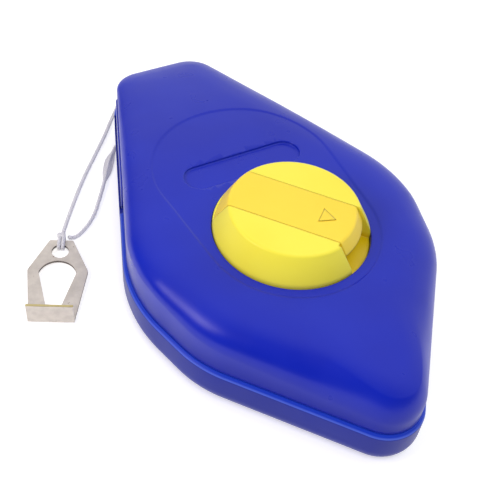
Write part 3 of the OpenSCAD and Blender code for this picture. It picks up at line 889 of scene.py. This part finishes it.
def build_knot():
    """Wraps of the knot, and the doubled loop through the hook's hole."""
    mid = HOOK_T / 2
    bend = mid + BRAID_R
    turns, half, reach = 2.5, 0.85, 0.72
    t = np.linspace(0, 1, 110)
    helix = np.column_stack([-half + 2 * half * t, reach * np.cos(turns * TURN * t),
                             reach * np.sin(turns * TURN * t)])
    wraps = resample(placed(helix, at(*KNOT_AT) @ about("Z", HOOK_TURN)), 0.2)
    tubes = braid(wraps, 0.64, KNOT_PITCH)
    angle = np.radians(np.linspace(90, 270, 24))
    low, high = sum(HOOK_HOLE) + 0.1, HOOK_LEN
    lower = np.column_stack([0 * angle, low + bend * np.cos(angle), mid + bend * np.sin(angle)])
    upper = np.column_stack([0 * angle, high - bend * np.cos(angle), mid - bend * np.sin(angle)])
    loop = np.vstack([lower, upper, lower[:1]])
    for shift in (-0.62, 0.62):
        tubes += braid(resample(placed(loop + (shift, 0, 0), ON_HOOK), 0.25), 0.62, LOOP_PITCH)
    finish_braid(join_rings("line_knot_wraps", tubes), "end_hook", ["line_knot"])


def rounded_plan(corners, radii, steps=5):
    """Closed plan through corners, each rounded by its own radius."""
    out = []
    for k, (p, radius) in enumerate(zip(corners, radii)):
        a, b, c = (np.array(q, float) for q in (corners[k - 1], p, corners[(k + 1) % len(corners)]))
        u, v = (a - b) / np.linalg.norm(a - b), (c - b) / np.linalg.norm(c - b)
        if radius == 0:
            out.append(tuple(b))
        else:
            out += [tuple((1 - t) ** 2 * (b + u * radius) + 2 * t * (1 - t) * b + t * t * (b + v * radius))
                    for t in np.linspace(0, 1, steps)]
    return np.array(out)


def lip_section():
    """Cross section of the bent-up lip and the start of the plate, as (y, z)."""
    bend, thick = LIP_BEND, HOOK_T
    outer = [(bend * (1 - math.sin(a)), bend * (1 - math.cos(a))) for a in np.linspace(0, math.pi / 2, 9)]
    inner = [(bend - (bend - thick) * math.sin(a), bend - (bend - thick) * math.cos(a))
             for a in np.linspace(math.pi / 2, 0, 6)]
    top = [(0.0, LIP_H - 0.1), (0.1, LIP_H), (thick - 0.1, LIP_H), (thick, LIP_H - 0.1)]
    return np.array(([(bend + 0.4, 0.0)] + outer + top + inner + [(bend + 0.4, thick)])[::-1])


def build_hook():
    """Keystone plate with its two openings and the bent-up lip."""
    right = [(HOOK_FOOT, LIP_BEND), HOOK_SHOULDER, (HOOK_TOP, HOOK_LEN)]
    outline = rounded_plan(right + [(-x, y) for x, y in reversed(right)], (0, 0.5, 0.4, 0.4, 0.5, 0))
    plate = slab("hook_plate", outline, (0, HOOK_T), 0.07, ON_HOOK)
    foot_x, foot_y = ARCH_FOOT
    arch = np.vstack([ARCH_R * direction(np.linspace(13, 167, 40)) + (0, ARCH_Y),
                      [(-foot_x, foot_y), (foot_x, foot_y)]])
    carve(plate, ("DIFFERENCE", ring_solid("arch", [level(arch, z) for z in (-1, 2)], ON_HOOK)))
    hole_y, hole_r = HOOK_HOLE
    carve(plate, ("DIFFERENCE", rod("hole", hole_r, (-1, 2), ON_HOOK @ at(0, hole_y, 0))))
    section = lip_section()
    ends = ((-HOOK_FOOT, LIP_EDGE), (LIP_EDGE - HOOK_FOOT, 0.0),
            (HOOK_FOOT - LIP_EDGE, 0.0), (HOOK_FOOT, LIP_EDGE))
    lip = ring_solid("lip", [np.column_stack([np.full(len(section), x), shrink(section, inset)])
                             for x, inset in ends], ON_HOOK)
    carve(plate, ("UNION", lip))
    finish_piece(plate, HOOK_STEEL, "end_hook", ["hook"], 30)
    plate.data.materials.append(HOOK_EDGE)
    plate.data.materials.append(HOOK_CUT)
    to_hook = ON_HOOK.inverted()
    for polygon in plate.data.polygons:
        centre, normal = to_hook @ polygon.center, to_hook.to_3x3() @ polygon.normal
        if centre.z > (LIP_H - 0.12) * MM:
            polygon.material_index = 1
        elif centre.y > 1.5 * MM and abs(normal.z) < 0.3:
            polygon.material_index = 2


# ---------------------------------------------------------------- shells

OUTLINE, NORMAL = wrap_outline(OUTLINE_STEP)


def flat_ring(off, z):
    """The case outline moved out by off, at one height."""
    return level(OUTLINE + NORMAL * off, z)


def crown_ring(degrees, inset=0.0):
    """Ring on the rounding round the top, at an angle from its start."""
    t = math.radians(degrees)
    width = crown_width(OUTLINE[:, 1])[:, None] - inset
    xy = OUTLINE - NORMAL * (inset + width * (1 - math.cos(t)))
    low = crown_start(xy[:, 1])
    return np.column_stack([xy, low + (top_z(xy[:, 1]) - low) * math.sin(t) - inset])


def pad_radius(angles):
    """Distance from the spool axis to the pad's edge in each direction."""
    low, high = np.zeros(len(angles)), np.full(len(angles), 60.0)
    for _ in range(30):
        mid = (low + high) / 2
        inside = inward(mid[:, None] * angles, PAD_SUPPORT)[0] > 0
        low, high = np.where(inside, mid, low), np.where(inside, high, mid)
    return low


def top_rings():
    """Rings of the top, from the rounding's upper part to the lip of the crank's hole."""
    rim = crown_ring(60)
    reach = np.linalg.norm(rim[:, :2], axis=1)
    ray = rim[:, :2] / reach[:, None]
    edge = pad_radius(ray)
    stations = [reach + (edge + 0.7 - reach) * t for t in np.linspace(0, 1, 16)[1:]]
    stations += [edge + s for s in (0.35, 0.16, 0.0, -0.16, -0.35, -0.7)]
    stations += [edge - 0.7 + (HOLE_R + LIP_R - edge + 0.7) * t for t in np.linspace(0, 1, 15)[1:]]
    rings = [np.column_stack([ray * r[:, None], height(ray * r[:, None])]) for r in stations]
    lip = [np.column_stack([ray * (HOLE_R + LIP_R - LIP_R * math.sin(a)),
                            rings[-1][:, 2] - LIP_R * (1 - math.cos(a))])
           for a in np.radians((22, 45, 67, 90))]
    return rings + lip, ray


def build_upper_shell():
    """Upper shell: one skin from the parting line over the top and back down inside, then its cuts."""
    outer = [flat_ring(-0.3, PARTING), flat_ring(-0.09, PARTING + 0.06), flat_ring(0, PARTING + 0.3)]
    foot, low = PARTING + 0.3, crown_start(OUTLINE[:, 1])
    outer += [np.column_stack([OUTLINE, foot + (low - foot) * t]) for t in (0.25, 0.5, 0.75)]
    outer += [crown_ring(a) for a in np.arange(0, 61, 4)]
    top, ray = top_rings()
    outer += top
    inner = [level(ray * r, CASE_H - WALL) for r in (HOLE_R, HOLE_R + 1.5)]
    inner += [crown_ring(a, WALL) for a in (75, 55, 35, 18, 0)]
    inner += [flat_ring(-WALL, PARTING)]
    shell = ring_solid("upper_shell_moulding", outer + inner, caps=False)
    extras = [rod("boss", BOSS_R, (PARTING + 0.05, top), at(x, y, 0)) for x, y, top in SCREWS]
    extras += wiper_ribs((16, 26)) + [door_frame((PARTING + 0.05, 23.6))]
    cuts = screw_rods("pilot", PILOT_R, (PARTING - 1, PARTING + 7))
    cuts += [eyelet_seat(), recess_cutter()] + door_cutters()
    carve(shell, *[("UNION", e) for e in extras], *[("DIFFERENCE", c) for c in cuts])
    finish_piece(shell, BLUE, "case", ["upper_shell"])
    weighted_normals(shell)


def screw_rods(name, radius, z):
    """One rod at each case screw."""
    return [rod(name, radius, z, at(x, y, 0)) for x, y, _ in SCREWS]


def wiper_ribs(z):
    """The two ribs that hold the felt wipers."""
    return [box("rib", (-RIB_HALF, RIB_HALF), (y, y + RIB_T), z) for y in (WIPER_Y[0] - RIB_T, WIPER_Y[1])]


def door_frame(z):
    """Thickening inside the flank that the door closes on."""
    return box("door_frame", (-3.4, DOOR_LEN + 3), (1, FRAME_Y + 2), z, ON_FLANK)


def eyelet_seat():
    """Cutter for the bore in the nose that holds the line's eyelet."""
    return rod("eyelet_seat", EYELET_SEAT_R, (NOSE_Y - 8, NOSE_Y + 5), NOSE_ROD)


def recess_cutter():
    """Stadium-shaped cutter with a flared lip and a rounded floor edge."""
    ends = np.linspace(-90, 90, 32)
    right = RECESS_R * direction(ends) + (RECESS_HALF, 0)
    left = RECESS_R * direction(ends + 180) - (RECESS_HALF, 0)
    plan = np.vstack([right, left]) + (0, RECESS_Y)
    top = CASE_H - PAD_DEPTH
    levels = [(0.5, top - 0.95), (0.2, top - 0.85), (0.04, top - 0.7), (0.0, top - 0.5), (0.0, top - 0.28),
              (-0.08, top - 0.12), (-0.3, top + 0.005), (-0.3, top + 3)]
    return ring_solid("recess", [level(shrink(plan, inset), z) for inset, z in levels])


def door_cutters():
    """Rebate, knuckle pocket, mouth, pin hole and nail notch of the filling door."""
    low, high = DOOR_Z[0] - 0.4, DOOR_Z[1] + 0.4
    pieces = [box("rebate", (0, DOOR_LEN + 0.4), (-5, FRAME_Y), (low, high), ON_FLANK),
              box("pocket", (-2.6, 2.4), (-5, 3.9), (low, high), ON_FLANK),
              rod("pin_hole", DOOR_PIN_R, (DOOR_Z[0] - 1.8, DOOR_Z[1] + 2), ON_FLANK @ at(0, KNUCKLE_Y, 0)),
              rod("nail_notch", 2.4, (0, 3), ON_FLANK @ at(DOOR_LEN + 0.4, -1.7, 14.5) @ about("Y", 90))]
    mouth = rounded_rectangle(MOUTH_X, MOUTH_Z, 1.2)
    return pieces + [ring_solid("mouth", [upright(mouth, y) for y in (6.0, -5.0)], ON_FLANK)]


def build_lower_shell():
    """Lower shell: one skin up the wall, over ledge and tongue and down inside, then its cuts."""
    tongue = -WALL - 0.15
    turns = np.radians(np.linspace(90, 0, 11))
    bottom = [(LEDGE - BOTTOM_R * (1 - math.cos(t)), BOTTOM_R * (1 - math.sin(t))) for t in turns]
    wall = [(LEDGE, 9), (LEDGE, 12.6)]
    rim = [(LEDGE - 0.06, 12.9), (LEDGE - 0.22, 13.1), (LEDGE - 0.45, 13.2), (0.3, 13.4), (0.18, 13.62),
           (0.0, 13.68), (-0.4, 13.68)]
    inside = [(tongue, 13.9), (tongue, 15.5), (tongue - 0.9, 15.6), (tongue - 1, 12.2), (-WALL, 11.4),
              (-WALL, 5.6), (-3.1, 3.8), (-5.2, WALL)]
    shell = ring_solid("lower_shell_moulding", [flat_ring(off, z) for off, z in bottom + wall + rim + inside])
    carve(shell, ("DIFFERENCE", box("gap", (-4.6, DOOR_LEN + 4), (2.25, 8), (13.5, 17), ON_FLANK)))
    extras = screw_rods("boss", BOSS_R, (2, PARTING)) + screw_rods("boss_foot", BOSS_FOOT_R, (2, 4.6))
    extras += [rod("post", POST_R, (2, 21.1)), rod("post_foot", POST_FOOT_R, (2, 3.3))]
    extras += wiper_ribs((2, 12)) + [door_frame((6.4, PARTING))]
    cuts = screw_rods("shank_hole", SHANK_R, (-1, 19)) + screw_rods("head_hole", HEAD_R, (-1, 2.6))
    cuts += [rod("axle_pilot", AXLE_PILOT_R, (9, 29)), eyelet_seat(),
             rod("eyelet_face", EYELET_FACE_R, (NOSE_Y, NOSE_Y + 5), NOSE_ROD)] + door_cutters()
    carve(shell, *[("UNION", e) for e in extras], *[("DIFFERENCE", c) for c in cuts])
    finish_piece(shell, BLUE_LOWER_SHADED, "case", ["lower_shell"])
    weighted_normals(shell)


def build_door():
    """Filling door: a thin strip with rounded front edges and a bored knuckle."""
    plan = rounded_rectangle((0.0, DOOR_LEN), DOOR_Z, 0.9)
    depths = [(0.3, DOOR_Y[0]), (0.09, DOOR_Y[0] + 0.09), (0.0, DOOR_Y[0] + 0.3), (0.0, DOOR_Y[1])]
    rings = [upright(shrink(plan, inset), y) for inset, y in reversed(depths)]
    door = ring_solid("fill_door_moulding", rings, ON_FLANK)
    hinge = ON_FLANK @ at(0, KNUCKLE_Y, 0)
    carve(door, ("UNION", rod("knuckle", KNUCKLE_R, DOOR_Z, hinge)),
          ("DIFFERENCE", rod("bore", KNUCKLE_BORE_R, (DOOR_Z[0] - 1, DOOR_Z[1] + 1), hinge)))
    finish_piece(door, BLUE, "door", ["fill_door"])


# ---------------------------------------------------------------- crank

def knob(name, place=None):
    """Solid of revolution in the whole form of the crank disc, which disc and lever are cut from."""
    corners = [(0, FLANGE[1]), (FLANGE[0], FLANGE[1]), (FLANGE[0], FLANGE[2]), (NECK_R, FLANGE[2]),
               (NECK_R, CASE_H + 0.4), (KNOB_TOP_R + 0.2, LEVER_TOP), (0, LEVER_TOP)]
    return lathe(name, rounded_profile(corners, KNOB_ROUND), place, KNOB_SIDES)


def build_crank():
    """Crank disc: the channel and pits for the lever, and the hub and pegs that turn the spool."""
    disc = knob("crank_disc_moulding")
    half = CHANNEL_HALF
    cuts = [box("channel", (-BESIDE, BESIDE), (-half, half), (CHANNEL_Z, ABOVE), ON_LEVER),
            box("notch", (15.4, BESIDE), (-half - NOTCH_MORE, half), (NOTCH_Z, ABOVE), ON_LEVER),
            rod("hinge_room", LEVER_END_R + 0.3, (-half, half), HINGE_ROD),
            rod("pin_hole", PIN_HOLE_R, (-11, 11), HINGE_ROD)]
    cuts += [rod("grip_room", 5.1, (GRIP_Z[0] - 0.4, 50), ON_LEVER @ at(x, 0, 0)) for x in (9.1, 9.8)]
    carve(disc, *[("DIFFERENCE", c) for c in cuts])
    hub = lathe("hub", [(8, 23), (12, 23), (12, FLANGE[1] + 0.1), (8, FLANGE[1] + 0.1)])
    pegs = [rod("peg", 1.4, (19.5, 23.1), about("Z", a) @ at(10.2, 0, 0)) for a in (45, 135, 225, 315)]
    carve(disc, ("UNION", hub), *[("UNION", p) for p in pegs])
    finish_piece(disc, YELLOW, "reel", ["crank_disc"])
    weighted_normals(disc)


def build_lever():
    """Fold-out lever, cut from the disc's form so that it closes flush, with its raised mark."""
    half = LEVER_W / 2
    across = (-half - 1, half + 1)
    lever = knob("crank_lever_moulding")
    carve(lever, ("INTERSECT", box("bar", (PIN_X, BESIDE), (-half, half), (LEVER_TOP - LEVER_T, ABOVE),
                                   ON_LEVER)))
    hinge = knob("hinge")
    carve(hinge, ("INTERSECT", box("end", (-BESIDE, PIN_X + 5), (-half, half), (PIN_Z - 3.6, ABOVE),
                                   ON_LEVER)))
    carve(hinge, ("INTERSECT", rod("barrel", LEVER_END_R, across, HINGE_ROD)))
    carve(lever, ("UNION", hinge))
    carve(lever, ("INTERSECT", knob("end_form", ON_LEVER @ at(-LEVER_SHORT, 0, 0))))
    mark = np.array(MARK)[::-1]
    levels = ((0, LEVER_TOP - 0.2), (0, LEVER_TOP + 0.08), (0.12, LEVER_TOP + 0.16))
    raised = ring_solid("mark", [level(shrink(mark, inset), z) for inset, z in levels], ON_LEVER)
    carve(lever, ("DIFFERENCE", rod("pin_bore", PIN_BORE_R, across, HINGE_ROD)),
          ("DIFFERENCE", rod("rivet_bore", RIVET_BORE_R, (30, LEVER_TOP - 1.6), ON_LEVER @ at(GRIP_X, 0, 0))))
    add_mesh(lever, raised)
    finish_piece(lever, YELLOW_LEVER, "lever", ["crank_lever"])
    weighted_normals(lever)


def build_grip():
    """Finger grip: a waisted roller on its rivet."""
    r, (low, high) = GRIP_R, GRIP_Z
    z = np.linspace(low + 0.5, high - 0.4, 9)
    waist = [(r - 0.5 * math.sin(math.pi * (h - low) / (high - low)) ** 2, h) for h in z]
    foot = [(GRIP_SOCKET_R, low), (r - 0.6, low), (r - 0.2, low + 0.15)]
    head = [(r - 0.3, high - 0.1), (r - 0.6, high), (GRIP_BORE_R, high), (GRIP_BORE_R, low + 1.5),
            (GRIP_SOCKET_R, low + 1.5)]
    profile = foot + waist + head
    grip = lathe("finger_grip_roller", profile, ON_LEVER @ at(GRIP_X, 0, 0), 96)
    finish_piece(grip, YELLOW, "grip", ["finger_grip"])


# ---------------------------------------------------------------- pieces that keep their CAD form

KEPT = {"case_screws": ZINC, "line_eyelet": BRASS, "wiper_lower": FELT, "wiper_upper": FELT,
        "axle_bush": BRASS, "axle_screw": ZINC, "axle_washer": ZINC, "dust_ring": GREY_FELT,
        "inner_line": BRAID, "spool": SPOOL_YELLOW, "wound_line": BRAID, "lever_pin": ZINC,
        "grip_rivet": ZINC, "door_seal": RUBBER, "door_pin": ZINC}


def dress_kept_nodes():
    """Puts the materials on the pieces that keep their CAD form."""
    for node, material in KEPT.items():
        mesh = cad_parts[node].data
        mesh.materials.clear()
        mesh.materials.append(material)


place_camera()
build_hook()
build_knot()
build_line()
build_upper_shell()
build_lower_shell()
build_door()
build_crank()
build_lever()
build_grip()
dress_kept_nodes()
studio()
